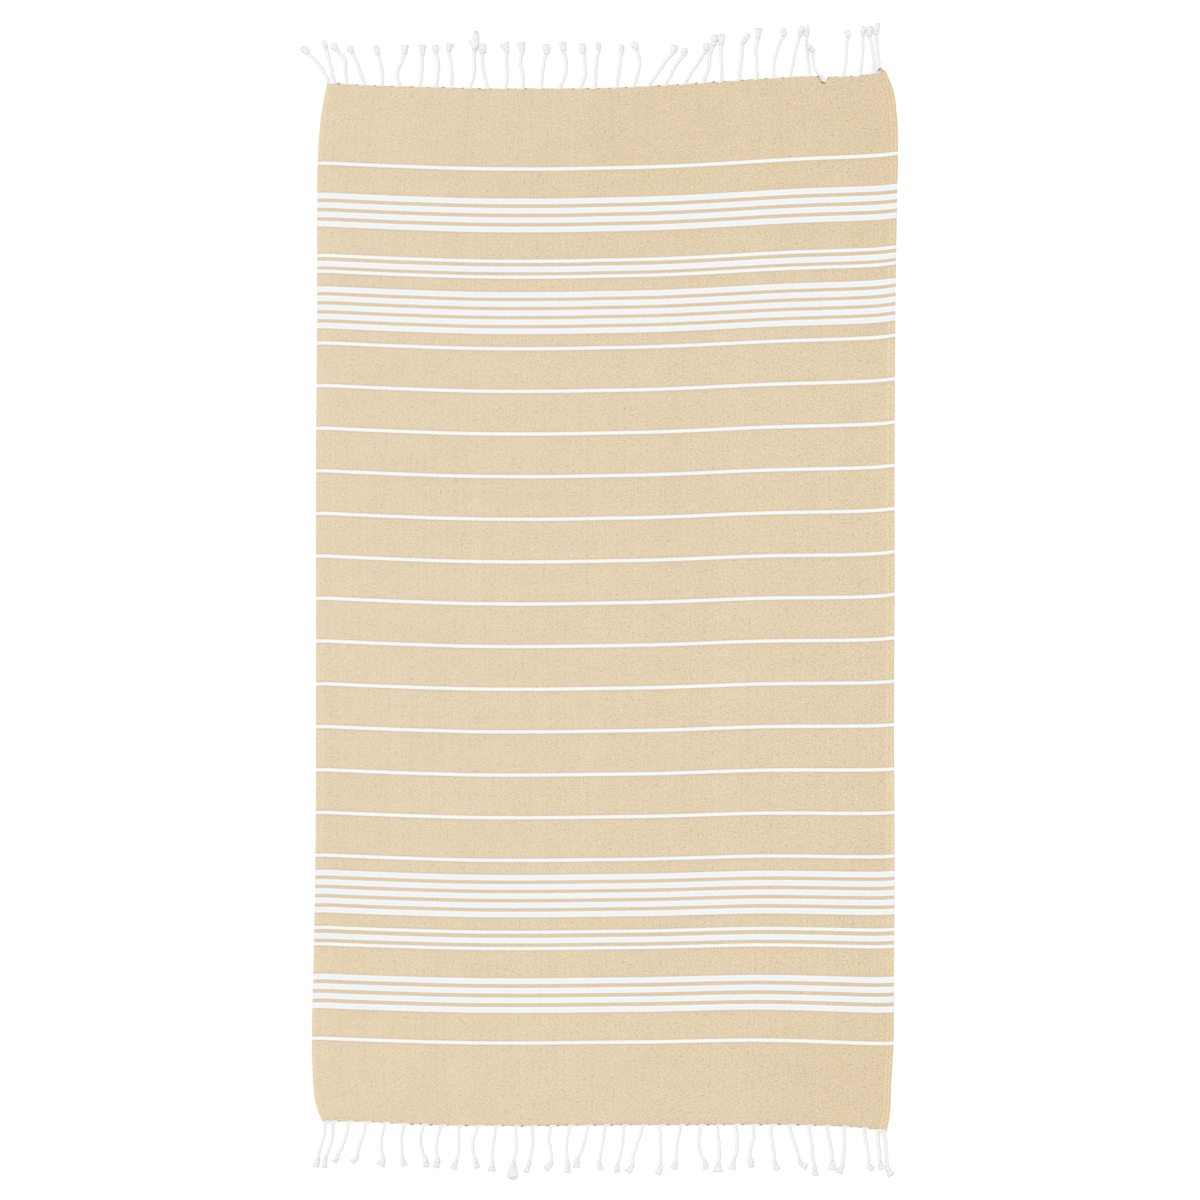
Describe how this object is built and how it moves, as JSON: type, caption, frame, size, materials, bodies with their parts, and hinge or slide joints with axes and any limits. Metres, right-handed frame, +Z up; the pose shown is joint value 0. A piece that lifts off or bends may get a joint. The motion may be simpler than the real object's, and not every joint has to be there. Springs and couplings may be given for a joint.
{
  "type": "beach blanket",
  "caption": "Flat-woven beach blanket, sand with white cross stripes, laid out flat, with a fringe of twisted and knotted cords at both ends.",
  "frame": {"origin": "on the ground under the middle of the blanket's whole outline, fringes included", "axes": "+X across the blanket, +Y along it towards the far fringe, +Z up from the ground it lies on"},
  "size_m": [1.0356, 2.0025, 0.0098],
  "materials": {
    "sand_weave": "flat-woven cotton, mottled sand with white weft stripes",
    "white_cord": "twisted white cotton warp ends"
  },
  "bodies": {
    "root": {"cloth": "sand_weave", "fringe_far": "white_cord", "fringe_near": "white_cord"}
  },
  "joints": []
}
